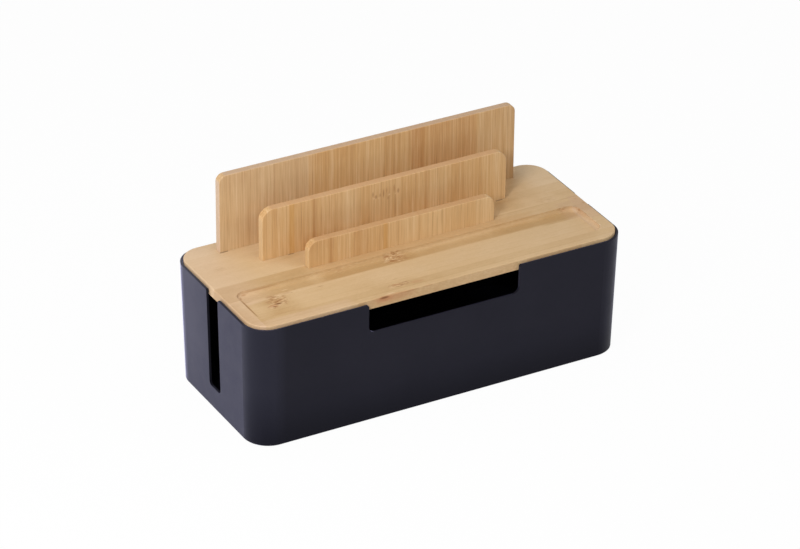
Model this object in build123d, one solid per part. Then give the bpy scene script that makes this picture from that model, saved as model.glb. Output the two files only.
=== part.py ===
from build123d import *
import os

# Cable management box: a moulded open-topped box with cable openings, and a
# bamboo lid that drops into its rim and carries a pen tray and three upright
# dividers for phones and tablets.
#
# Millimetres, +Z up. The origin is on the table, under the centre of the box.
# -Y is the front, where the wide cable notch is; the dividers rise to the back.

# ---- box shell: outside size at the rim, and the moulding ----
box_length = 400.0
box_depth = 172.0
box_height = 125.8            # from the underside of the base to the rim
wall = 2.4
base_thickness = 2.5
side_draft = 2.4              # how far every wall leans in from rim to base
base_bevel = 0.8
rim_round = 0.5
corner_radius = 25.5          # of the upright corners, outside

# ---- openings in the walls, all open at the rim ----
notch_width = 161.2
notch_depth = 30.4
notch_corner_radius = 7.0
slot_width = 23.0
slot_sill_height = 23.0       # from the underside of the base
slot_corner_radius = 4.0
opening_rim_radius = 3.2
opening_rim_rise = 0.4        # the flare's arc would end this far above the rim

# ---- ribs inside the walls, which the lid rests on ----
rib_thickness = 2.4
rib_reach = 6.0
rib_notch_margin = 35.6       # from the notch's flare to the nearest rib
rib_slot_margin = 18.1        # from a slot's flare to the nearest rib

# ---- rubber feet, seated in shallow pockets ----
foot_diameter = 14.0
foot_thickness = 1.7
foot_pocket_depth = 0.8
foot_pocket_clearance = 0.3
foot_inset_x = 38.0           # from the box's end to the foot's centre
foot_inset_y = 32.0           # from the box's front or back
foot_edge_round = 0.5

# ---- lid board ----
lid_thickness = 10.0
lid_proud = 3.1               # how far its top stands above the rim
lid_rim_gap = 1.0
lid_corner_radius = 21.5
lid_top_round = 0.9
lid_bottom_round = 0.5

# ---- pen tray, a coved recess along the lid's front ----
tray_end_margin = 12.2        # from the lid's end to the tray
tray_width = 54.0
tray_depth = 5.0
tray_corner_radius = 10.0
tray_cove_radius = 4.5
tray_front_margin = 15.8      # from the lid's front edge

# ---- dividers: boards that stand in grooves across the lid ----
divider_thickness = 8.0
divider_tray_margin = 9.5     # from the tray's back to the low divider
divider_back_margin = 12.1    # from the tall divider to the lid's back edge
divider_edge_round = 0.8
low_end_margin = 96.3         # end margins are from the lid's end to a divider
low_height = 27.0             # heights are above the lid's top
low_corner_radius = 10.0
middle_end_margin = 64.6
middle_height = 52.6
middle_corner_radius = 12.0
tall_end_margin = 36.6
tall_height = 80.6
tall_corner_radius = 8.0
groove_depth = 3.0
groove_clearance = 0.15

# ---- countersunk wood screws, driven up through the lid ----
screw_diameter = 3.5
screw_length = 25.0
screw_head_diameter = 7.0
screw_head_height = 2.2
screw_sink = 0.3              # head below the lid's underside
screw_hole_clearance = 0.25
screw_tip_clearance = 1.0
screw_end_margin = 36.5       # from a divider's end to its outer screw
screw_tip_length = 3.5
screw_tip_diameter = 0.5
screw_drive_width = 2.6
screw_drive_slot = 0.7
screw_drive_depth = 1.0
low_screw_count = 2
middle_screw_count = 3
tall_screw_count = 3

# ---- heights worked out from the sizes above ----
base_z = foot_thickness - foot_pocket_depth
rim_z = base_z + box_height
lid_top_z = rim_z + lid_proud
lid_bottom_z = lid_top_z - lid_thickness
groove_z = lid_top_z - groove_depth

# ---- the lid's own size, and lengths along X that follow it ----
lid_edge_inset = wall + lid_rim_gap
lid_length = box_length - 2 * lid_edge_inset
lid_width = box_depth - 2 * lid_edge_inset
tray_length = lid_length - 2 * tray_end_margin
low_length = lid_length - 2 * low_end_margin
middle_length = lid_length - 2 * middle_end_margin
tall_length = lid_length - 2 * tall_end_margin

# ---- places along Y, from the front to the back ----
lid_back_y = lid_width / 2
tray_front_y = -lid_back_y + tray_front_margin
tray_centre_y = tray_front_y + tray_width / 2
low_centre_y = tray_front_y + tray_width + divider_tray_margin + divider_thickness / 2
tall_centre_y = lid_back_y - divider_back_margin - divider_thickness / 2
middle_centre_y = (low_centre_y + tall_centre_y) / 2

# ---- ribs follow the openings beside them ----
notch_rib_x = notch_width / 2 + opening_rim_radius + rib_notch_margin + rib_thickness / 2
slot_rib_y = slot_width / 2 + opening_rim_radius + rib_slot_margin + rib_thickness / 2

cut_margin = 2.0              # how far a cutting tool runs past a face
near = 0.01                   # edges closer than this to a level lie on it


def box_outline(inset, draft, z):
    """Plan outline of the box at a height, moved in by inset and by the draft."""
    length = box_length - 2 * (inset + draft)
    depth = box_depth - 2 * (inset + draft)
    return Pos(0, 0, z) * RectangleRounded(length, depth, corner_radius - inset)


def draft_at(height):
    """How far the walls lean in at a height above the base's underside."""
    return side_draft * (box_height - height) / box_height


def open_topped_profile(width, bottom, lower_radius):
    """Outline of a cable opening: round below, flared where it meets the rim."""
    half = width / 2
    flare = opening_rim_radius
    top = box_height + opening_rim_rise
    above = top + cut_margin
    with BuildSketch() as profile:
        with BuildLine():
            left_rim = (-half - flare, top)
            left_wall = (-half, top - flare)
            right_rim = (half + flare, top)
            right_wall = (half, top - flare)
            Line((-half - flare, above), left_rim)
            RadiusArc(left_rim, left_wall, flare)
            Line(left_wall, (-half, bottom + lower_radius))
            RadiusArc((-half, bottom + lower_radius), (-half + lower_radius, bottom), -lower_radius)
            Line((-half + lower_radius, bottom), (half - lower_radius, bottom))
            RadiusArc((half - lower_radius, bottom), (half, bottom + lower_radius), -lower_radius)
            Line((half, bottom + lower_radius), right_wall)
            RadiusArc(right_wall, right_rim, flare)
            Line(right_rim, (half + flare, above))
            Line((half + flare, above), (-half - flare, above))
        make_face()
    return profile.sketch


def outer_form():
    """The box as a solid block: drafted walls and a bevelled bottom edge."""
    bevelled = box_outline(base_bevel, side_draft, 0)
    above_bevel = box_outline(0, draft_at(base_bevel), base_bevel)
    rim = box_outline(0, 0, box_height)
    return loft([bevelled, above_bevel], ruled=True) + loft([above_bevel, rim], ruled=True)


def support_ribs():
    """Upright ribs on the walls; their tops carry the lid."""
    rib_height = lid_bottom_z - base_z
    long_y = box_depth / 2 - wall - rib_reach
    end_x = box_length / 2 - wall - rib_reach
    ribs = []
    wall_places = [(-notch_rib_x, -1), (notch_rib_x, -1)]
    wall_places += [(-notch_rib_x, 1), (0, 1), (notch_rib_x, 1)]
    for x, side in wall_places:
        rib = Box(rib_thickness, rib_reach + wall, rib_height)
        ribs.append(Pos(x, side * (long_y + (rib_reach + wall) / 2), rib_height / 2) * rib)
    for side in (-1, 1):
        for y in (-slot_rib_y, slot_rib_y):
            rib = Box(rib_reach + wall, rib_thickness, rib_height)
            ribs.append(Pos(side * (end_x + (rib_reach + wall) / 2), y, rib_height / 2) * rib)
    return ribs


def foot_places():
    x = box_length / 2 - foot_inset_x
    y = box_depth / 2 - foot_inset_y
    return {
        "foot_front_left": (-x, -y),
        "foot_front_right": (x, -y),
        "foot_back_left": (-x, y),
        "foot_back_right": (x, y),
    }


def make_box_shell():
    block = outer_form()
    inner_floor = box_outline(wall, draft_at(base_thickness), base_thickness)
    inner_rim = box_outline(wall, 0, box_height)
    cavity = loft([inner_floor, inner_rim], ruled=True)
    shell = block - cavity
    rim_edges = shell.edges().filter_by(lambda edge: edge.bounding_box().min.Z > box_height - near)
    shell = fillet(rim_edges, rim_round)
    opening_reach = wall + side_draft + cut_margin
    notch = open_topped_profile(notch_width, box_height - notch_depth, notch_corner_radius)
    shell -= extrude(Plane.XZ.offset(box_depth / 2) * notch, opening_reach, both=True)
    slot = open_topped_profile(slot_width, slot_sill_height, slot_corner_radius)
    for end in (-box_length / 2, box_length / 2):
        shell -= extrude(Plane.YZ.offset(end) * slot, opening_reach, both=True)
    for rib in support_ribs():
        shell += rib & block
    pocket_radius = foot_diameter / 2 + foot_pocket_clearance
    for x, y in foot_places().values():
        pocket = Cylinder(pocket_radius, foot_pocket_depth + cut_margin)
        shell -= Pos(x, y, (foot_pocket_depth - cut_margin) / 2) * pocket
    return Pos(0, 0, base_z) * shell


def make_foot(x, y):
    foot = Pos(x, y, foot_thickness / 2) * Cylinder(foot_diameter / 2, foot_thickness)
    lower_edge = foot.edges().sort_by(Axis.Z)[0]
    return fillet(lower_edge, foot_edge_round)


def tray_recess():
    """Cutting solid for the pen tray, coved where its walls meet its floor."""
    outline = RectangleRounded(tray_length, tray_width, tray_corner_radius)
    recess = extrude(outline, tray_depth + cut_margin)
    floor_edges = recess.edges().group_by(Axis.Z)[0]
    recess = fillet(floor_edges, tray_cove_radius)
    return Pos(0, tray_centre_y, lid_top_z - tray_depth) * recess


def divider_list():
    """Name, length, height above the lid, corner radius, centre Y and screws."""
    return [
        ("divider_low", low_length, low_height, low_corner_radius, low_centre_y, low_screw_count),
        ("divider_middle", middle_length, middle_height, middle_corner_radius, middle_centre_y,
         middle_screw_count),
        ("divider_tall", tall_length, tall_height, tall_corner_radius, tall_centre_y,
         tall_screw_count),
    ]


def screw_places(length, centre_y, count):
    span = length - 2 * screw_end_margin
    return [(-span / 2 + span * index / (count - 1), centre_y) for index in range(count)]


def screw_bore(x, y, clearance):
    """Countersunk hole for one screw, from the lid's underside up."""
    radius = screw_diameter / 2 + clearance
    head_radius = screw_head_diameter / 2 + clearance
    shaft_height = screw_length + screw_tip_clearance
    shaft = Pos(0, 0, shaft_height / 2) * Cylinder(radius, shaft_height)
    sink = Pos(0, 0, screw_sink + screw_head_height / 2) * Cone(head_radius, radius, screw_head_height)
    mouth = Pos(0, 0, (screw_sink - cut_margin) / 2) * Cylinder(head_radius, screw_sink + cut_margin)
    return Pos(x, y, lid_bottom_z) * (shaft + sink + mouth)


def make_screw(x, y):
    """One wood screw: cross-driven countersunk head, shank and pointed tip."""
    radius = screw_diameter / 2
    shank_height = screw_length - screw_head_height - screw_tip_length
    head = Pos(0, 0, screw_head_height / 2) * Cone(screw_head_diameter / 2, radius, screw_head_height)
    shank = Pos(0, 0, screw_head_height + shank_height / 2) * Cylinder(radius, shank_height)
    tip_z = screw_length - screw_tip_length / 2
    tip = Pos(0, 0, tip_z) * Cone(radius, screw_tip_diameter / 2, screw_tip_length)
    drive = Box(screw_drive_width, screw_drive_slot, 2 * screw_drive_depth)
    cross = drive + Rot(0, 0, 90) * drive
    return Pos(x, y, lid_bottom_z + screw_sink) * (head + shank + tip - cross)


def make_lid_board():
    outline = RectangleRounded(lid_length, lid_width, lid_corner_radius)
    board = extrude(outline, lid_thickness)
    board = fillet(board.edges().group_by(Axis.Z)[-1], lid_top_round)
    board = fillet(board.edges().group_by(Axis.Z)[0], lid_bottom_round)
    board = Pos(0, 0, lid_bottom_z) * board
    board -= tray_recess()
    for name, length, height, radius, centre_y, count in divider_list():
        groove_length = length + 2 * groove_clearance
        groove_width = divider_thickness + 2 * groove_clearance
        groove = Box(groove_length, groove_width, groove_depth + cut_margin)
        board -= Pos(0, centre_y, groove_z + (groove_depth + cut_margin) / 2) * groove
        for x, y in screw_places(length, centre_y, count):
            board -= screw_bore(x, y, screw_hole_clearance)
    return board


def make_divider(length, height, radius, centre_y, count):
    """Upright board with rounded top corners and softened edges."""
    board_height = height + groove_depth
    face = Rectangle(length, board_height)
    top_corners = face.vertices().group_by(Axis.Y)[-1]
    face = fillet(top_corners, radius)
    board = extrude(Plane.XZ * face, divider_thickness / 2, both=True)
    rounded = board.edges().filter_by(lambda edge: edge.center().Z > -board_height / 2 + near)
    rounded = rounded.filter_by(lambda edge: abs(edge.center().Y) > divider_thickness / 2 - near)
    board = fillet(rounded, divider_edge_round)
    board = Pos(0, centre_y, groove_z + board_height / 2) * board
    for x, y in screw_places(length, centre_y, count):
        board -= screw_bore(x, y, screw_hole_clearance)
    return board


def make_screws(length, centre_y, count):
    screws = [make_screw(x, y) for x, y in screw_places(length, centre_y, count)]
    return Compound(children=screws)


def write(name, shape):
    export_step(shape, os.path.join("parts", name + ".step"))


os.makedirs("parts", exist_ok=True)
write("box_shell", make_box_shell())
for foot_name, (foot_x, foot_y) in foot_places().items():
    write(foot_name, make_foot(foot_x, foot_y))
write("lid_board", make_lid_board())
for name, length, height, radius, centre_y, count in divider_list():
    write(name, make_divider(length, height, radius, centre_y, count))
    write(name + "_screws", make_screws(length, centre_y, count))
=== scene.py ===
import math

import bpy
from mathutils import Euler, Matrix, Vector

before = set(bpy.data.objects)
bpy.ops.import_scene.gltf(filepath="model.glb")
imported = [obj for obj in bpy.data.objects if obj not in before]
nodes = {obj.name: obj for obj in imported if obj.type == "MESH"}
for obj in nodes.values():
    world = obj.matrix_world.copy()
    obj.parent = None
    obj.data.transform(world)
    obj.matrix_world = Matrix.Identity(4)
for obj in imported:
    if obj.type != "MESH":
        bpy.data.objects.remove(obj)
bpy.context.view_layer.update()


# ---- Box shell ----
# One injection-moulded shell in matt charcoal plastic with a blue cast. Its
# mould was finely sparked, so the walls carry a close, even grain that scatters
# the light, and they lean in a little so that the shell would leave the mould.

shell_colour = (0.0080, 0.0077, 0.0108, 1.0)
shell_mottle = (0.0095, 0.0091, 0.0128, 1.0)
# Painted light and shade: the corner colour is a painted highlight on the front left corner, the back
# colour is painted light at the back of the left end, and the low colour is painted shade.
shell_corner_highlight = (0.0170, 0.0170, 0.0255, 1.0)
shell_painted_light = (0.0530, 0.0515, 0.0625, 1.0)
shell_painted_shade = (0.0010, 0.0010, 0.0030, 1.0)
shell_blue = (0.72, 0.72, 1.0, 1.0)
shell_sheen = (0.585, 0.583, 0.95, 1.0)
shell_sheen_roughness = 0.33
shell_refraction = 1.2        # index of refraction
shell_roughness = (0.40, 0.50)
shell_grain_size = 0.45       # millimetres
shell_grain_depth = 0.00002   # metres
# Each noise: its scale per millimetre, its detail and its roughness.
shell_mottling = (0.02, 3.0, 0.5)
shell_wear = (0.06, 4.0, 0.6)
shell_grain = (1 / shell_grain_size, 2.0, 0.5)
# Each zone: two places along an axis in millimetres, and its share at each.
left_end_zone = (-190, -186, 1, 0)        # along X
# The next six zones place painted light and shade, and the last two lower the sheen.
end_front_shade_zone = (-30, -12, 0.5, 0)       # along Y
end_back_light_zone = (12, 60, 0, 0.62)         # along Y
back_corner_light_zone = (60, 72, 0, 0.38)      # along Y
corner_highlight_run_zone = (-178, -166, 1, 0)    # along X
corner_highlight_side_zone = (-66, -60, 1, 0)     # along Y
foot_shade_zone = (5, 60, 0.7, 0)          # up Z
dull_foot_zone = (5, 35, 0.2, 1)          # up Z
dull_right_zone = (174, 184, 1, 0.35)     # along X
# The values between which noise mostly lies, and a narrower middle of them.
noise_core = (0.3, 0.7)
noise_middle = (0.35, 0.65)
millimetres_per_metre = 1000.0


def fill(tree, socket, value):
    """Links a socket to another node's output, or gives it a plain value."""
    if isinstance(value, bpy.types.NodeSocket):
        tree.links.new(value, socket)
    else:
        socket.default_value = value


def fill_named(tree, node, values):
    """Fills a node's inputs by their names."""
    for name, value in values.items():
        fill(tree, node.inputs[name], value)


def add(tree, kind, *values, **options):
    """Adds a shader node, sets its options, and fills its inputs in order."""
    made = tree.nodes.new(kind)
    for option, value in options.items():
        setattr(made, option, value)
    for socket, value in zip(made.inputs, values):
        fill(tree, socket, value)
    return made


def calc(tree, how, *values):
    """The result of a Math node, such as ADD or MAXIMUM."""
    return add(tree, "ShaderNodeMath", *values, operation=how).outputs[0]


def spread(tree, value, low, high, new_low, new_high):
    """Turns the range low..high into new_low..new_high, and stops at its ends."""
    return add(tree, "ShaderNodeMapRange", value, low, high, new_low, new_high).outputs[0]


def millimetres(tree):
    """Object coordinates in millimetres: the vector, and its X, Y and Z."""
    place = add(tree, "ShaderNodeTexCoord").outputs["Object"]
    scaled = add(tree, "ShaderNodeVectorMath", place, operation="SCALE")
    fill_named(tree, scaled, {"Scale": millimetres_per_metre})
    parts = add(tree, "ShaderNodeSeparateXYZ", scaled.outputs[0])
    return scaled.outputs[0], parts.outputs


def noise(tree, place, scale, detail, rough):
    """Smooth noise from 0 to 1."""
    made = add(tree, "ShaderNodeTexNoise")
    fill_named(tree, made, {"Vector": place, "Scale": scale, "Detail": detail, "Roughness": rough})
    return made.outputs[0]


def blend_colours(tree, share, first, second):
    """Mixes two colours: a share of 0 gives the first, and 1 the second."""
    mixed = add(tree, "ShaderNodeMix", data_type="RGBA")
    # Among its sockets for all kinds of data, inputs 0, 6 and 7 and output 2 are
    # the share, the two colours and the mixed colour.
    for index, value in ((0, share), (6, first), (7, second)):
        fill(tree, mixed.inputs[index], value)
    return mixed.outputs[2]


def new_finish(name):
    """A new material, its node tree and its main shader."""
    finish = bpy.data.materials.new(name)
    finish.use_nodes = True
    tree = finish.node_tree
    return finish, tree, tree.nodes["Principled BSDF"]


def add_relief(tree, shader, height, depth):
    """Fine surface relief, with its depth in metres."""
    relief = add(tree, "ShaderNodeBump")
    fill_named(tree, relief, {"Strength": 1.0, "Distance": depth, "Height": height})
    fill_named(tree, shader, {"Normal": relief.outputs["Normal"]})


def dress(piece, finish):
    """Gives a piece of the frame its finish."""
    for slot in piece.material_slots:
        slot.material = finish


def moulded_plastic():
    """Matt charcoal plastic, paler or darker in zones of painted light and shade, and duller in others.
    """
    finish, tree, shader = new_finish("moulded_charcoal_plastic")
    place, (run, side, height) = millimetres(tree)
    mottle = spread(tree, noise(tree, place, *shell_mottling), *noise_middle, 0, 1)
    colour = blend_colours(tree, mottle, shell_colour, shell_mottle)
    # Painted light and shade: the left end is darker towards the front and paler towards the back, the
    # front left corner carries a painted highlight, and painted shade darkens the walls to the base.
    left_end = spread(tree, run, *left_end_zone)
    end_front_shade = calc(tree, "MULTIPLY", left_end, spread(tree, side, *end_front_shade_zone))
    colour = blend_colours(tree, end_front_shade, colour, shell_painted_shade)
    painted_paling = calc(tree, "ADD", spread(tree, side, *end_back_light_zone),
                  spread(tree, side, *back_corner_light_zone))
    end_back_light = calc(tree, "MULTIPLY", left_end, painted_paling)
    colour = blend_colours(tree, end_back_light, colour, shell_painted_light)
    corner_highlight = calc(tree, "MULTIPLY", spread(tree, run, *corner_highlight_run_zone),
                        spread(tree, side, *corner_highlight_side_zone))
    colour = blend_colours(tree, corner_highlight, colour, shell_corner_highlight)
    colour = blend_colours(tree, spread(tree, height, *foot_shade_zone), colour, shell_painted_shade)
    # The right end, and the foot of every wall but the left end, are duller.
    foot = calc(tree, "MAXIMUM", left_end, spread(tree, height, *dull_foot_zone))
    sheen = calc(tree, "MULTIPLY", spread(tree, run, *dull_right_zone), foot)
    wear = noise(tree, place, *shell_wear)
    fill_named(tree, shader, {
        "Base Color": colour,
        "Roughness": spread(tree, wear, *noise_core, *shell_roughness),
        "IOR": shell_refraction,
        "Specular Tint": shell_blue,
        "Sheen Weight": sheen,
        "Sheen Roughness": shell_sheen_roughness,
        "Sheen Tint": shell_sheen,
    })
    add_relief(tree, shader, noise(tree, place, *shell_grain), shell_grain_depth)
    return finish


dress(nodes["box_shell"], moulded_plastic())


# ---- Rubber feet ----
# Four die-cut discs of black rubber, glued into shallow round pockets in the
# base. Their skin is matt and a little dusty.

rubber_colour = (0.012, 0.012, 0.012, 1.0)
rubber_dust = (0.035, 0.033, 0.030, 1.0)
rubber_dusting = (0.5, 4.0, 0.6)          # a noise, as on the shell
rubber_dust_limits = (0.45, 0.75)         # where the noise turns to dust
rubber_roughness = 0.85
rubber_pits = (3.0, 3.0, 0.5)             # a noise
rubber_pit_depth = 0.00004                # metres


def foot_rubber():
    """Matt black rubber with a little dust on it."""
    finish, tree, shader = new_finish("foot_rubber")
    place, _ = millimetres(tree)
    dust = spread(tree, noise(tree, place, *rubber_dusting), *rubber_dust_limits, 0, 1)
    fill_named(tree, shader, {
        "Base Color": blend_colours(tree, dust, rubber_colour, rubber_dust),
        "Roughness": rubber_roughness,
    })
    add_relief(tree, shader, noise(tree, place, *rubber_pits), rubber_pit_depth)
    return finish


rubber = foot_rubber()
for foot in ("foot_front_left", "foot_front_right", "foot_back_left", "foot_back_right"):
    dress(nodes[foot], rubber)


# ---- Lid board ----
# A board glued up from wide flat-laid bamboo strips that run along its length,
# planed, sanded and thinly lacquered. Where a strip crosses a joint of the
# stalk it shows a knot: a short crosswise band of broken brown fibres.

lid_axes = (0, 1, 2)          # X, Y and Z as the ways along, across and into the board
lid_tones = ((0.48, 0.295, 0.125, 1.0), (0.62, 0.425, 0.225, 1.0), (0.69, 0.500, 0.300, 1.0))
knot_brown = (0.30, 0.130, 0.040, 1.0)
knot_shade = (0.50, 0.290, 0.130, 1.0)
line_brown = (0.38, 0.190, 0.075, 1.0)
line_pale = (0.84, 0.660, 0.430, 1.0)
lacquer_refraction = 1.42
lacquer_roughness = (0.50, 0.62)
lid_contrast = {
    "base": 0.68,       # the board's mean tone, from 0 (dark) to 1 (pale)
    "strips": 0.05,     # how far the strips differ from each other
    "clouds": 0.10,     # slow changes along a strip
    "seams": 0.16,      # the glue lines between strips
    "bundles": 0.02,    # lines a few millimetres wide
    "threads": 0.02,    # lines about a millimetre wide, and the fibres among them
    "hairs": 0.12,      # lines finer than that
    "pores": 0.14,      # short dark streaks
    "relief": 0.000010,  # metres
}
# The widths of strips, bundles and threads in millimetres. The rest are noises:
# their scales per millimetre along, across and into the board, then their
# detail and roughness.
lid_grain = {
    "strips": 25.0,
    "bundles": 5.5,
    "threads": 1.6,
    "fibres": (0.070, 0.75, 0.15, 4.0, 0.65),
    "hairs": (0.30, 4.2, 0.6, 2.0, 0.5),
    "pores": (0.14, 1.3, 0.3, 1.0, 0.5),
}
cloud_noise = (0.012, 0.03, 0.02, 2.0, 0.5)
mottle_noise = (0.06, 0.12, 0.06, 3.0, 0.5)
knot_noise = (0.20, 0.85, 0.3, 2.0, 0.6)
# How far the edges of strips wander, as a share of their width, and the number
# that their random tones start from.
strip_edges = {"strips": (0.1, 3.0), "bundles": (0.9, 11.0), "threads": (0.9, 29.0)}
drift_along = 0.002           # per millimetre
drift_across = 0.9            # per strip
mottle_weight = 0.5           # the mottle's weight beside the clouds
seam_width = 0.4              # millimetres
hair_relief = 0.6             # the hairs' height beside the fibres
pore_limits = (0.62, 0.70)    # where the noise turns to pores
dark_stroke_limits = (0.50, 0.62)
pale_stroke_limits = (0.46, 0.34)
pale_stroke_share = 0.6
knot_core = 0.2               # the square of the way out to which a knot is full
knot_shade_share = 0.50
mark_core = 0.4               # the way out to which a mark is full
patch_fades = (15.0, 1.2)     # millimetres along and across the grain
stain_side_fade = 2.0         # the longest fade of a stain across the grain
# The dark of the gaps at the dividers' feet is painted shadow.
gap_shadow_brown = (0.13, 0.060, 0.020, 1.0)
stroke_dark = (0.20, 0.075, 0.020, 1.0)
stroke_brown = (0.36, 0.170, 0.060, 1.0)
stroke_red = (0.46, 0.205, 0.085, 1.0)
stroke_pale = (0.82, 0.600, 0.370, 1.0)
# Where marks lie, in millimetres: just under the board's top, just under the
# floor of its pen tray, and on its front edge.
lid_top = 129.8               # Z
tray_floor = 124.8            # Z
front_edge = -82.6            # Y
# Each patch: its limits along and across the grain, and its change of tone.
lid_patches = (
    ((-200, 200), (-25, 2), -0.34),
    ((-200, -110), (-24, 2), -0.20),
    ((-85, -5), (-24, -14), -0.50),
    ((-150, -110), (-24, -14), -0.10),
    ((10, 130), (-24, -15), -0.22),
    ((150, 168), (-28, -14), -0.44),
    ((180, 205), (2, 20), -0.30),
    ((-200, 0), (-90, -64), -0.26),
    ((15, 165), (-90, -64), -0.16),
    ((-200, 200), (-76, -67), -0.18),
    ((-200, 200), (-64, -51), -0.10),
    ((-160, -144), (-60, -30), -0.30),
    ((-200, -60), (-62, -30), -0.14),
    ((-200, -184), (-26.4, -25.2), -0.75),
    ((-205, -195), (-76, -14), -0.40),
    # Painted shadow, where the dividers' shadows fall behind their right ends.
    ((105, 160), (2, 90), -0.22),
    ((174, 205), (36, 90), 0.26),
    ((100, 135), (-26, -14), -0.16),
    ((-55, -25), (-64, -54), -0.16),
    ((-158, -152), (-38, -26), -0.22),
    ((-205, -180), (-14, 0), -0.18),
    ((-200, -175), (64, 90), 0.32),
    ((-205, -190), (-84, -70), -0.22),
    # The next three are painted shadows: between the tall and middle boards, and beside both ends of the
    # low board.
    ((-80, -8), (36, 56), -0.42),
    ((-104, -96), (6, 28), -0.26),
    ((118, 132), (6, 28), -0.22),
)
# Each stain: its limits along and across the grain, its fade, share and colour.
lid_stains = (
    ((-210, -175), (-30, 90), 30.0, 0.40, (0.68, 0.480, 0.330, 1.0)),
    ((-210, -184.6), (-90, -30), 0.2, 0.40, (0.66, 0.460, 0.320, 1.0)),
    # Paler edge grain along the front edge, partly painted light from the front.
    ((-184.6, -100), (-90, -72), 10.0, 0.30, (0.66, 0.460, 0.320, 1.0)),
    ((90, 150), (-84, -82.55), 0.3, 0.25, (0.46, 0.240, 0.100, 1.0)),
    ((185, 210), (-42, 4), 1.0, 0.30, (0.58, 0.360, 0.230, 1.0)),
    ((172, 210), (-28, -4), 8.0, 0.30, (0.52, 0.330, 0.200, 1.0)),
    # Painted shade that dulls the lit right wall of the tray.
    ((180.4, 184.5), (-62, -14), 0.4, 0.50, (0.54, 0.380, 0.250, 1.0)),
    # Painted shade on the lid in front of the low divider's foot.
    ((-90, 130), (-14, -4), 12.0, 0.30, (0.52, 0.290, 0.110, 1.0)),
    ((-90, 80), (-84, -82.55), 0.3, 0.28, (0.42, 0.210, 0.080, 1.0)),
    ((182.8, 184.38), (-34, -14), 0.5, 0.35, (0.50, 0.290, 0.140, 1.0)),
    # Painted shadow in the gaps at the dividers' feet.
    ((-160, -152), (61.5, 62.5), 0.3, 0.80, gap_shadow_brown),
    ((-105, -99), (28.7, 29.7), 0.3, 0.75, gap_shadow_brown),
    ((121, 128), (28.5, 29.7), 0.3, 0.90, gap_shadow_brown),
)
# Each knot: its centre and its reach along and across the grain, and its strength.
lid_knots = (
    ((-149.0, -34.0), (13.0, 11.0), 0.95),
    ((-157.0, -43.0), (8.0, 5.5), 0.85),
    ((-16.0, -17.5), (14.0, 8.5), 0.95),
    ((-73.0, -15.0), (8.0, 4.0), 0.20),
    ((-40.0, -68.5), (15.0, 6.0), 0.70),
    ((170.0, -12.0), (6.0, 4.0), 0.40),
    ((-175.0, 34.0), (8.0, 6.0), 0.20),
    ((165.0, 8.0), (12.0, 6.0), 0.25),
)
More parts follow.
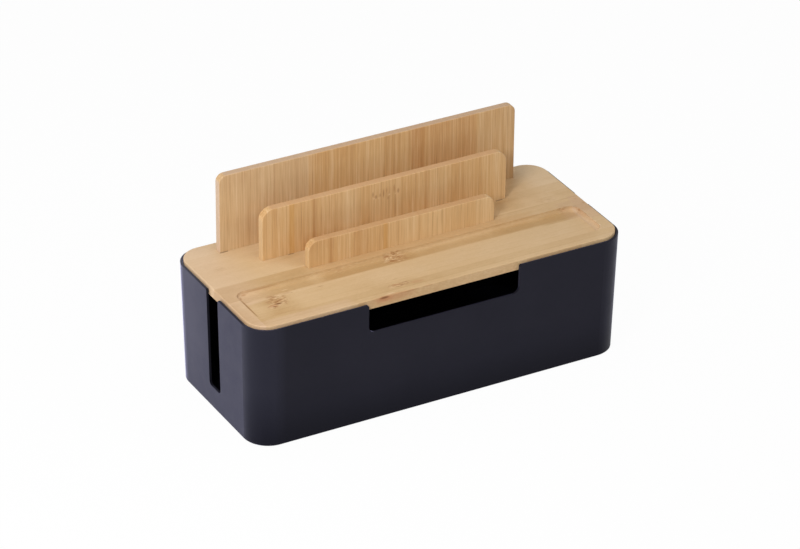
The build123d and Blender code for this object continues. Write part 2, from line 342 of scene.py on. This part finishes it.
# Each mark: its centre and its reach along X, Y and Z, its share and its colour.
lid_marks = (
    ((-153.8, -25.9, tray_floor), (5.0, 3.2, 1.0), 0.35, stroke_brown),
    ((-158.0, -42.6, tray_floor), (6.0, 3.4, 1.0), 0.45, stroke_red),
    ((-151.5, -40.8, tray_floor), (4.2, 1.7, 1.0), 1.00, stroke_dark),
    ((-157.2, -44.2, tray_floor), (2.4, 1.4, 1.0), 0.70, stroke_dark),
    ((-144.5, -42.6, tray_floor), (1.0, 3.2, 1.0), 0.50, stroke_brown),
    ((-136.0, -26.8, tray_floor), (5.5, 2.4, 1.0), 0.25, stroke_brown),
    ((-135.0, -20.8, tray_floor), (4.6, 0.8, 1.0), 0.50, stroke_pale),
    ((-134.2, -23.8, tray_floor), (2.4, 0.7, 1.0), 0.60, stroke_brown),
    ((-125.9, -23.8, tray_floor), (2.2, 0.7, 1.0), 0.50, stroke_brown),
    ((-131.3, -28.4, tray_floor), (1.4, 0.8, 1.0), 0.50, stroke_brown),
    ((-102.5, -30.4, tray_floor), (4.4, 0.8, 1.0), 0.50, stroke_brown),
    # The next five marks are painted shade along the tray's left wall and its back left corner.
    ((-179.5, -35.0, tray_floor), (1.0, 25.0, 1.0), 0.80, stroke_brown),
    ((-181.6, -61.0, 127.5), (1.6, 2.5, 2.0), 0.50, stroke_brown),
    ((-178.6, -17.6, 125.6), (1.6, 2.4, 1.4), 0.60, stroke_brown),
    ((-174.0, -14.4, 126.4), (3.5, 1.4, 1.2), 0.50, stroke_brown),
    ((-158.0, -12.9, 127.9), (24.0, 1.0, 1.0), 0.45, stroke_brown),
    ((-23.0, -13.4, 127.0), (3.4, 1.0, 1.4), 0.50, stroke_brown),
    ((-18.0, -19.6, tray_floor), (5.5, 1.3, 1.2), 0.60, stroke_brown),
    ((-5.5, -21.6, tray_floor), (6.0, 0.8, 1.0), 0.60, stroke_brown),
    ((-34.4, -51.2, tray_floor), (3.4, 0.8, 1.0), 0.40, stroke_brown),
    ((-43.0, -68.5, lid_top), (5.5, 2.0, 1.0), 0.35, stroke_red),
    ((-22.0, -72.0, lid_top), (9.0, 3.5, 1.0), 0.30, stroke_red),
    ((-48.0, -71.5, lid_top), (5.0, 0.9, 1.0), 0.45, stroke_pale),
    ((-55.4, -80.3, lid_top), (6.5, 1.2, 1.0), 0.45, stroke_pale),
    ((-54.0, front_edge, 127.0), (27.0, 2.0, 6.0), 0.50, stroke_red),
    ((-62.5, front_edge, 127.2), (10.5, 1.4, 3.4), 0.85, stroke_red),
    ((-62.8, front_edge, 128.4), (6.0, 1.2, 1.5), 0.95, stroke_dark),
    ((-36.0, front_edge, 128.6), (12.0, 1.0, 1.4), 0.40, stroke_brown),
    ((-16.0, front_edge, 129.0), (7.0, 1.0, 1.0), 0.35, stroke_brown),
    ((170.5, -13.0, 128.0), (4.5, 1.0, 1.2), 0.35, stroke_brown),
    ((184.0, -21.3, 128.0), (1.2, 1.8, 1.5), 0.70, stroke_brown),
    # The next three marks are painted highlights on the top of the tray's right wall.
    ((184.6, -43.0, 129.5), (0.9, 2.2, 0.6), 0.60, stroke_pale),
    ((184.7, -50.0, 129.7), (0.9, 2.4, 0.5), 0.60, stroke_pale),
    ((184.7, -58.5, 129.7), (0.9, 3.0, 0.5), 0.70, stroke_pale),
    ((191.0, -2.5, lid_top), (2.2, 1.4, 1.0), 0.35, stroke_red),
    ((193.8, -13.4, lid_top), (1.8, 1.6, 1.0), 0.45, stroke_brown),
)


def within(tree, value, limits, fade):
    """1 between the limits, fading to 0 past either of them."""
    low, high = limits
    rise = spread(tree, value, low - fade, low, 0.0, 1.0)
    return calc(tree, "MULTIPLY", rise, spread(tree, value, high, high + fade, 1.0, 0.0))


def zone(tree, axes, run_limits, side_limits, run_fade, side_fade):
    """1 inside limits along and across the grain, fading to 0 outside them."""
    run, side, _ = axes
    along = within(tree, run, run_limits, run_fade)
    return calc(tree, "MULTIPLY", along, within(tree, side, side_limits, side_fade))


def lean(tree, tone, value, weight):
    """A tone with a weighted value added to it."""
    return calc(tree, "MULTIPLY_ADD", value, weight, tone)


def swing(tree, value):
    """Noise as a swing from -1 to 1."""
    return spread(tree, value, *noise_core, -1, 1)


def grain_noise(tree, axes, pattern):
    """Noise drawn out along, across and into the grain."""
    *scales, detail, rough = pattern
    stretched = [calc(tree, "MULTIPLY", axis, scale) for axis, scale in zip(axes, scales)]
    place = add(tree, "ShaderNodeCombineXYZ", *stretched).outputs[0]
    return noise(tree, place, 1.0, detail, rough)


def strip_tone(tree, axes, grain, kind):
    """A random tone from -1 to 1 for each strip, and the place across it."""
    width = grain[kind]
    wander, seed = strip_edges[kind]
    drift = grain_noise(tree, axes, (drift_along, drift_across / width, 0.0, 0.0, 0.5))
    moved = calc(tree, "ADD", axes[1], calc(tree, "MULTIPLY", drift, wander * width))
    count = calc(tree, "ADD", calc(tree, "DIVIDE", moved, width), seed)
    tone = add(tree, "ShaderNodeTexWhiteNoise", noise_dimensions="1D")
    fill_named(tree, tone, {"W": calc(tree, "FLOOR", count)})
    return calc(tree, "MULTIPLY_ADD", tone.outputs["Value"], 2.0, -1.0), calc(tree, "FRACT", count)


def board_tone(tree, axes, contrast, grain, patches):
    """The board's tone without its fine lines, from 0 (dark) to 1 (pale)."""
    strips, strip_place = strip_tone(tree, axes, grain, "strips")
    clouds = swing(tree, grain_noise(tree, axes, cloud_noise))
    mottle = swing(tree, grain_noise(tree, axes, mottle_noise))
    tone = lean(tree, contrast["base"], strips, contrast["strips"])
    tone = lean(tree, tone, clouds, contrast["clouds"])
    tone = lean(tree, tone, mottle, contrast["clouds"] * mottle_weight)
    for run_limits, side_limits, change in patches:
        tone = lean(tree, tone, zone(tree, axes, run_limits, side_limits, *patch_fades), change)
    from_seam = calc(tree, "MULTIPLY", calc(tree, "PINGPONG", strip_place, 0.5), grain["strips"])
    return calc(tree, "SUBTRACT", tone, spread(tree, from_seam, 0.0, seam_width, contrast["seams"], 0.0))


def board_colour(tree, tone, tones):
    """The colour of a tone, by way of a board's dark, middle and pale colours."""
    dark, middle, pale = tones
    shades = add(tree, "ShaderNodeValToRGB", tone)
    stops = shades.color_ramp.elements
    stops[0].color = dark
    stops[1].color = pale
    stops.new(0.5).color = middle
    return shades.outputs[0]


def add_stains(tree, axes, colour, stains):
    """Tints places on a board towards another colour."""
    for run_limits, side_limits, fade, share, stain in stains:
        here = zone(tree, axes, run_limits, side_limits, fade, min(fade, stain_side_fade))
        colour = blend_colours(tree, calc(tree, "MULTIPLY", here, share), colour, stain)
    return colour


def add_lines(tree, axes, colour, contrast, grain):
    """Draws the fine lines of the grain, and also returns its fibres and hairs."""
    bundles, _ = strip_tone(tree, axes, grain, "bundles")
    threads, _ = strip_tone(tree, axes, grain, "threads")
    fibres = swing(tree, grain_noise(tree, axes, grain["fibres"]))
    hairs = swing(tree, grain_noise(tree, axes, grain["hairs"]))
    pores = spread(tree, grain_noise(tree, axes, grain["pores"]), *pore_limits, 0.0, contrast["pores"])
    lines = lean(tree, 0.0, bundles, contrast["bundles"])
    lines = lean(tree, lines, threads, contrast["threads"])
    lines = lean(tree, lines, fibres, contrast["threads"])
    lines = lean(tree, lines, hairs, contrast["hairs"])
    lines = calc(tree, "ADD", lines, pores)
    colour = blend_colours(tree, calc(tree, "MAXIMUM", lines, 0.0), colour, line_brown)
    pale = calc(tree, "MAXIMUM", calc(tree, "MULTIPLY", lines, -1.0), 0.0)
    return blend_colours(tree, pale, colour, line_pale), fibres, hairs


def add_knots(tree, axes, colour, knots):
    """Draws knots: a brown shade with dark and pale strokes of broken fibre."""
    broken = grain_noise(tree, axes, knot_noise)
    dark_strokes = spread(tree, broken, *dark_stroke_limits, 0.0, 1.0)
    pale_strokes = spread(tree, broken, *pale_stroke_limits, 0.0, pale_stroke_share)
    for centre, reach, strength in knots:
        squares = []
        for axis, middle, half in zip(axes, centre, reach):
            away = calc(tree, "DIVIDE", calc(tree, "SUBTRACT", axis, middle), half)
            squares.append(calc(tree, "POWER", calc(tree, "ABSOLUTE", away), 2.0))
        inside = spread(tree, calc(tree, "ADD", *squares), knot_core, 1.0, strength, 0.0)
        for share, shade in ((knot_shade_share, knot_shade), (dark_strokes, knot_brown),
                             (pale_strokes, line_pale)):
            colour = blend_colours(tree, calc(tree, "MULTIPLY", inside, share), colour, shade)
    return colour


def add_marks(tree, place, colour, marks):
    """Draws single strokes and small marks, each a soft oval around its centre."""
    for centre, reach, share, shade in marks:
        away = add(tree, "ShaderNodeVectorMath", place, centre, operation="SUBTRACT").outputs[0]
        away = add(tree, "ShaderNodeVectorMath", away, reach, operation="DIVIDE").outputs[0]
        way_out = add(tree, "ShaderNodeVectorMath", away, operation="LENGTH").outputs["Value"]
        colour = blend_colours(tree, spread(tree, way_out, mark_core, 1.0, share, 0.0), colour, shade)
    return colour


def bamboo(name, order, tones, contrast, grain, patches, stains, knots, marks):
    """Laminated, lacquered bamboo. The order gives its axes along, across and into it."""
    finish, tree, shader = new_finish(name)
    place, coordinates = millimetres(tree)
    axes = [coordinates[index] for index in order]
    tone = board_tone(tree, axes, contrast, grain, patches)
    colour = add_stains(tree, axes, board_colour(tree, tone, tones), stains)
    colour, fibres, hairs = add_lines(tree, axes, colour, contrast, grain)
    if knots:
        colour = add_knots(tree, axes, colour, knots)
    colour = add_marks(tree, place, colour, marks)
    fill_named(tree, shader, {
        "IOR": lacquer_refraction,
        "Roughness": spread(tree, fibres, -1, 1, *lacquer_roughness),
    })
    add_relief(tree, shader, lean(tree, fibres, hairs, hair_relief), contrast["relief"])
    return finish, tree, shader, colour


def lid_bamboo():
    """The lid's bamboo, with its knots and marks."""
    finish, tree, shader, colour = bamboo(
        "lid_bamboo", lid_axes, lid_tones, lid_contrast, lid_grain, lid_patches, lid_stains,
        lid_knots, lid_marks)
    fill_named(tree, shader, {"Base Color": colour})
    return finish


dress(nodes["lid_board"], lid_bamboo())


# ---- Dividers ----
# Three upright boards, each glued up from narrow edge-laid strips that stand
# upright, so that their faces show close vertical lines. Their edges are eased
# and they are glued into grooves in the lid.

divider_axes = (2, 0, 1)      # Z, X and Y as the ways along, across and into a board
divider_tones = ((0.466, 0.229, 0.077, 1.0), (0.630, 0.382, 0.166, 1.0), (0.718, 0.487, 0.248, 1.0))
divider_contrast = {
    "base": 0.56,
    "strips": 0.08,
    "clouds": 0.05,
    "seams": 0.10,
    "bundles": 0.04,
    "threads": 0.17,
    "hairs": 0.24,
    "pores": 0.46,
    "relief": 0.00003,
}
divider_grain = {
    "strips": 17.0,
    "bundles": 4.1,
    "threads": 1.3,
    "fibres": (0.014, 0.75, 0.15, 4.0, 0.65),
    "hairs": (0.045, 4.2, 0.6, 2.0, 0.5),
    "pores": (0.016, 1.3, 0.3, 1.0, 0.5),
}
orange_strip = (0.60, 0.320, 0.090, 1.0)
red_strip = (0.51, 0.250, 0.090, 1.0)
tan_strip = (0.55, 0.290, 0.118, 1.0)
grey_strip = (0.61, 0.425, 0.240, 1.0)
straw_strip = (0.59, 0.380, 0.190, 1.0)
edge_share = 0.8              # how far an edge takes on a colour of its own
end_rim = (0.7, 0.1)          # millimetres inside the ends where that starts and is full
top_rim = (0.4, 0.05)         # the same, below the top
full_height = (-100, 300)     # limits that take in the whole height of a board
middle_face = 29.6            # Y of the middle board's front, in millimetres
# The middle board's knot is a row of short upright strokes with pale ends.
middle_knot = (
    ((0.0, middle_face, 169.5), (18.0, 2.0, 7.5), 0.10, stroke_brown),
    ((-14.1, middle_face, 170.5), (1.0, 2.0, 3.6), 0.60, stroke_brown),
    ((-10.8, middle_face, 167.4), (1.4, 2.0, 2.6), 0.65, stroke_brown),
    ((-6.4, middle_face, 168.2), (1.0, 2.0, 2.6), 0.50, stroke_brown),
    ((-2.7, middle_face, 169.2), (1.1, 2.0, 5.5), 0.65, stroke_brown),
    ((0.6, middle_face, 171.5), (0.9, 2.0, 3.6), 0.40, stroke_brown),
    ((2.2, middle_face, 163.2), (1.0, 2.0, 2.4), 0.45, stroke_brown),
    ((8.8, middle_face, 172.0), (1.1, 2.0, 5.5), 0.55, stroke_brown),
    ((13.2, middle_face, 168.4), (1.5, 2.0, 3.2), 0.60, stroke_brown),
    ((-13.0, middle_face, 166.0), (1.1, 2.0, 1.0), 0.45, stroke_pale),
    ((-8.2, middle_face, 165.4), (0.9, 2.0, 1.4), 0.40, stroke_pale),
    ((3.6, middle_face, 166.6), (1.4, 2.0, 1.2), 0.45, stroke_pale),
    ((10.4, middle_face, 166.0), (1.0, 2.0, 1.0), 0.35, stroke_pale),
)
# Each board's colours on top and at its ends, and its patches, stains and marks,
# which are given as the lid's are. Here the grain runs up the board.
# A board's top colour is partly a painted highlight: the pale, greyish reflection along its top.
dividers = {
    "divider_tall": {
        "top": (0.555, 0.375, 0.242, 1.0),
        "end": (0.635, 0.463, 0.335, 1.0),
        "patches": (
            (full_height, (-5, 13), 0.14),
            (full_height, (-63, -38), -0.08),
            (full_height, (104, 109), -0.20),
            (full_height, (-142, -128), -0.12),
            ((200, 300), (-200, 200), -0.14),
            ((100, 145), (-165, -142), 0.42),
            ((200, 300), (-165, -115), -0.12),
            ((158, 168), (-118, -102), -0.14),
            ((185, 300), (42, 58), -0.16),
            ((100, 145), (-20, -3), 0.22),
        ),
        "stains": (
            (full_height, (-162, -66), 1.0, 0.55, grey_strip),
            (full_height, (46, 60), 1.0, 0.70, red_strip),
            (full_height, (62, 116), 1.0, 0.55, tan_strip),
            (full_height, (120, 162), 1.0, 0.60, straw_strip),
            (full_height, (-60, 150), 1.0, 0.16, orange_strip),
        ),
        "marks": (),
    },
    "divider_middle": {
        "top": (0.590, 0.350, 0.180, 1.0),
        "end": (0.635, 0.440, 0.239, 1.0),
        "patches": (
            (full_height, (-78, -75), -0.22),
            (full_height, (43, 46), -0.26),
            (full_height, (48, 66), 0.10),
            (full_height, (72, 106), -0.10),
            (full_height, (109, 134), 0.06),
            (full_height, (-46, -28), 0.14),
            # Painted shadow of the low board on the middle board's lower part.
            ((100, 134), (-88, -14), -0.34),
            ((165, 300), (-132, -114), -0.10),
            ((130, 164), (46, 66), 0.12),
            ((140, 175), (-46, -26), 0.10),
        ),
        "stains": (
            (full_height, (-103, -98.5), 1.0, 0.65, orange_strip),
            (full_height, (-30, 120), 1.0, 0.13, orange_strip),
        ),
        "marks": middle_knot,
    },
    "divider_low": {
        "top": (0.545, 0.305, 0.140, 1.0),
        "end": (0.600, 0.407, 0.205, 1.0),
        "patches": (
            (full_height, (-77.5, -75), -0.26),
            (full_height, (-52, -37), -0.22),
            (full_height, (0, 44), 0.20),
            (full_height, (20, 42), 0.14),
            (full_height, (58, 102), 0.16),
            (full_height, (80, 102), 0.14),
            ((158, 200), (-100, -80), -0.16),
            ((100, 150), (22, 60), 0.12),
        ),
        "stains": (
            (full_height, (-20, -16.5), 1.0, 0.60, orange_strip),
            (full_height, (20, 80), 1.0, 0.13, orange_strip),
        ),
        "marks": (),
    },
}


def near_edge(tree, value, edge, rim):
    """The share of an edge's own colour, from 0 inside the board to full at the edge."""
    start, full = rim
    return spread(tree, value, edge - start, edge - full, 0.0, edge_share)


def divider_bamboo(board, look):
    """A divider's bamboo, with its top and ends in colours of their own, the top's partly a painted
    highlight.
    """
    finish, tree, shader, colour = bamboo(
        board + "_bamboo", divider_axes, divider_tones, divider_contrast, divider_grain,
        look["patches"], look["stains"], (), look["marks"])
    _, (run, _, height) = millimetres(tree)
    corners = nodes[board].bound_box
    half_length = millimetres_per_metre * max(corner[0] for corner in corners)
    top = millimetres_per_metre * max(corner[2] for corner in corners)
    at_end = near_edge(tree, calc(tree, "ABSOLUTE", run), half_length, end_rim)
    colour = blend_colours(tree, at_end, colour, look["end"])
    at_top = near_edge(tree, height, top, top_rim)
    # The top's colour is partly a painted highlight.
    colour = blend_colours(tree, at_top, colour, look["top"])
    fill_named(tree, shader, {"Base Color": colour})
    return finish


for board, look in dividers.items():
    dress(nodes[board], divider_bamboo(board, look))


# ---- Wood screws ----
# Countersunk cross-head wood screws of zinc-plated steel, driven up through the
# lid into the dividers' lower edges. Only their heads show, under the lid.

zinc_colour = (0.56, 0.56, 0.54, 1.0)
zinc_shadow = (0.42, 0.43, 0.43, 1.0)
zinc_clouding = (1.2, 4.0, 0.6)           # a noise, as on the shell
zinc_roughness = (0.28, 0.42)
zinc_crystals = (6.0, 2.0, 0.5)           # a noise
zinc_crystal_depth = 0.00001              # metres


def zinc_plate():
    """Zinc plating: a pale grey metal, softly clouded."""
    finish, tree, shader = new_finish("zinc_plated_steel")
    place, _ = millimetres(tree)
    cloud = noise(tree, place, *zinc_clouding)
    shadow = spread(tree, cloud, *noise_middle, 0, 1)
    fill_named(tree, shader, {
        "Base Color": blend_colours(tree, shadow, zinc_colour, zinc_shadow),
        "Metallic": 1.0,
        "Roughness": spread(tree, cloud, *noise_core, *zinc_roughness),
    })
    add_relief(tree, shader, noise(tree, place, *zinc_crystals), zinc_crystal_depth)
    return finish


zinc = zinc_plate()
for screws in ("divider_low_screws", "divider_middle_screws", "divider_tall_screws"):
    dress(nodes[screws], zinc)


# ---- Table ----
# A plain white table top that the box stands on. It shows as white to the eye
# and to glossy surfaces, and still takes the box's contact shadow.

table_size = 12.0             # metres
table_paint = (0.80, 0.80, 0.80, 1.0)
plain_white = (1.0, 1.0, 1.0, 1.0)
shadow_share = 0.03           # how much of the real shadow the table shows

bpy.ops.object.select_all(action="DESELECT")
bpy.ops.mesh.primitive_plane_add(size=table_size, location=(0.0, 0.0, 0.0))
table = bpy.context.object
table.name = "table"


def seen_directly(tree):
    """1 for rays from the camera or off a glossy or clear surface, otherwise 0."""
    path = add(tree, "ShaderNodeLightPath")
    seen = calc(tree, "MAXIMUM", path.outputs["Is Camera Ray"], path.outputs["Is Glossy Ray"])
    return calc(tree, "MAXIMUM", seen, path.outputs["Is Transmission Ray"])


def table_top():
    """White paint that looks plain white and keeps a share of its shadows."""
    finish, tree, shader = new_finish("white_table")
    tree.nodes.remove(shader)
    lit = add(tree, "ShaderNodeBsdfDiffuse", table_paint)
    plain = add(tree, "ShaderNodeEmission", plain_white, 1.0)
    share = calc(tree, "MULTIPLY", seen_directly(tree), 1.0 - shadow_share)
    mixed = add(tree, "ShaderNodeMixShader", share, lit.outputs[0], plain.outputs[0])
    fill_named(tree, tree.nodes["Material Output"], {"Surface": mixed.outputs[0]})
    return finish


table.data.materials.append(table_top())


# ---- Light and camera ----
# A bright even room and a wide softbox above. Two smaller ones in front give
# the dividers their soft double shadows, and one at the left lights that end.
# The camera looks down on the box from its front left.

room_light = 0.33             # the room's strength on the box; the eye sees it as 1
# Each softbox: its place, width and height in metres, its power in watts, and the
# point that it faces.
softboxes = {
    "softbox_above": ((-0.30, -0.05, 1.10), 0.90, 0.70, 2.2, (0.0, 0.0, 0.10)),
    "softbox_front_left": ((-0.80, -0.65, 0.85), 0.32, 0.32, 8.6, (0.0, 0.0, 0.12)),
    "softbox_front_right": ((0.90, -0.90, 1.00), 0.35, 0.35, 3.2, (0.0, 0.0, 0.12)),
    "softbox_left": ((-1.15, 0.10, 0.36), 0.60, 0.60, 2.3, (0.0, 0.0, 0.12)),
}
camera_place = (-1.63539, -2.92720, 1.99287)
camera_turn = 0.509352        # radians to the right of straight along +Y
camera_drop = 0.515056        # radians below level
camera_roll = 0.009879        # radians
camera_sensor = 36.0          # millimetres
camera_lens = 182.358         # millimetres
camera_reach = 50.0           # metres

room = bpy.data.worlds.new("room")
bpy.context.scene.world = room
room.use_nodes = True
room_tree = room.node_tree
fill_named(room_tree, room_tree.nodes["Background"], {
    "Color": plain_white,
    "Strength": spread(room_tree, seen_directly(room_tree), 0.0, 1.0, room_light, 1.0),
})


def add_softbox(name, place, width, height, power, aim_at):
    """A rectangular lamp, turned to face a point."""
    lamp = bpy.data.lights.new(name, "AREA")
    lamp.shape = "RECTANGLE"
    lamp.size = width
    lamp.size_y = height
    lamp.energy = power
    holder = bpy.data.objects.new(name, lamp)
    bpy.context.scene.collection.objects.link(holder)
    holder.location = place
    holder.rotation_euler = (Vector(aim_at) - Vector(place)).to_track_quat("-Z", "Y").to_euler()


for name, settings in softboxes.items():
    add_softbox(name, *settings)

camera_data = bpy.data.cameras.new("camera")
camera_data.sensor_width = camera_sensor
camera_data.lens = camera_lens
camera_data.clip_end = camera_reach
camera = bpy.data.objects.new("camera", camera_data)
bpy.context.scene.collection.objects.link(camera)
camera_facing = Euler((math.pi / 2 - camera_drop, 0.0, -camera_turn)).to_matrix()
camera_facing = camera_facing @ Matrix.Rotation(camera_roll, 3, "Z")
camera.rotation_euler = camera_facing.to_euler()
camera.location = camera_place
bpy.context.scene.camera = camera
bpy.context.scene.view_settings.view_transform = "Standard"
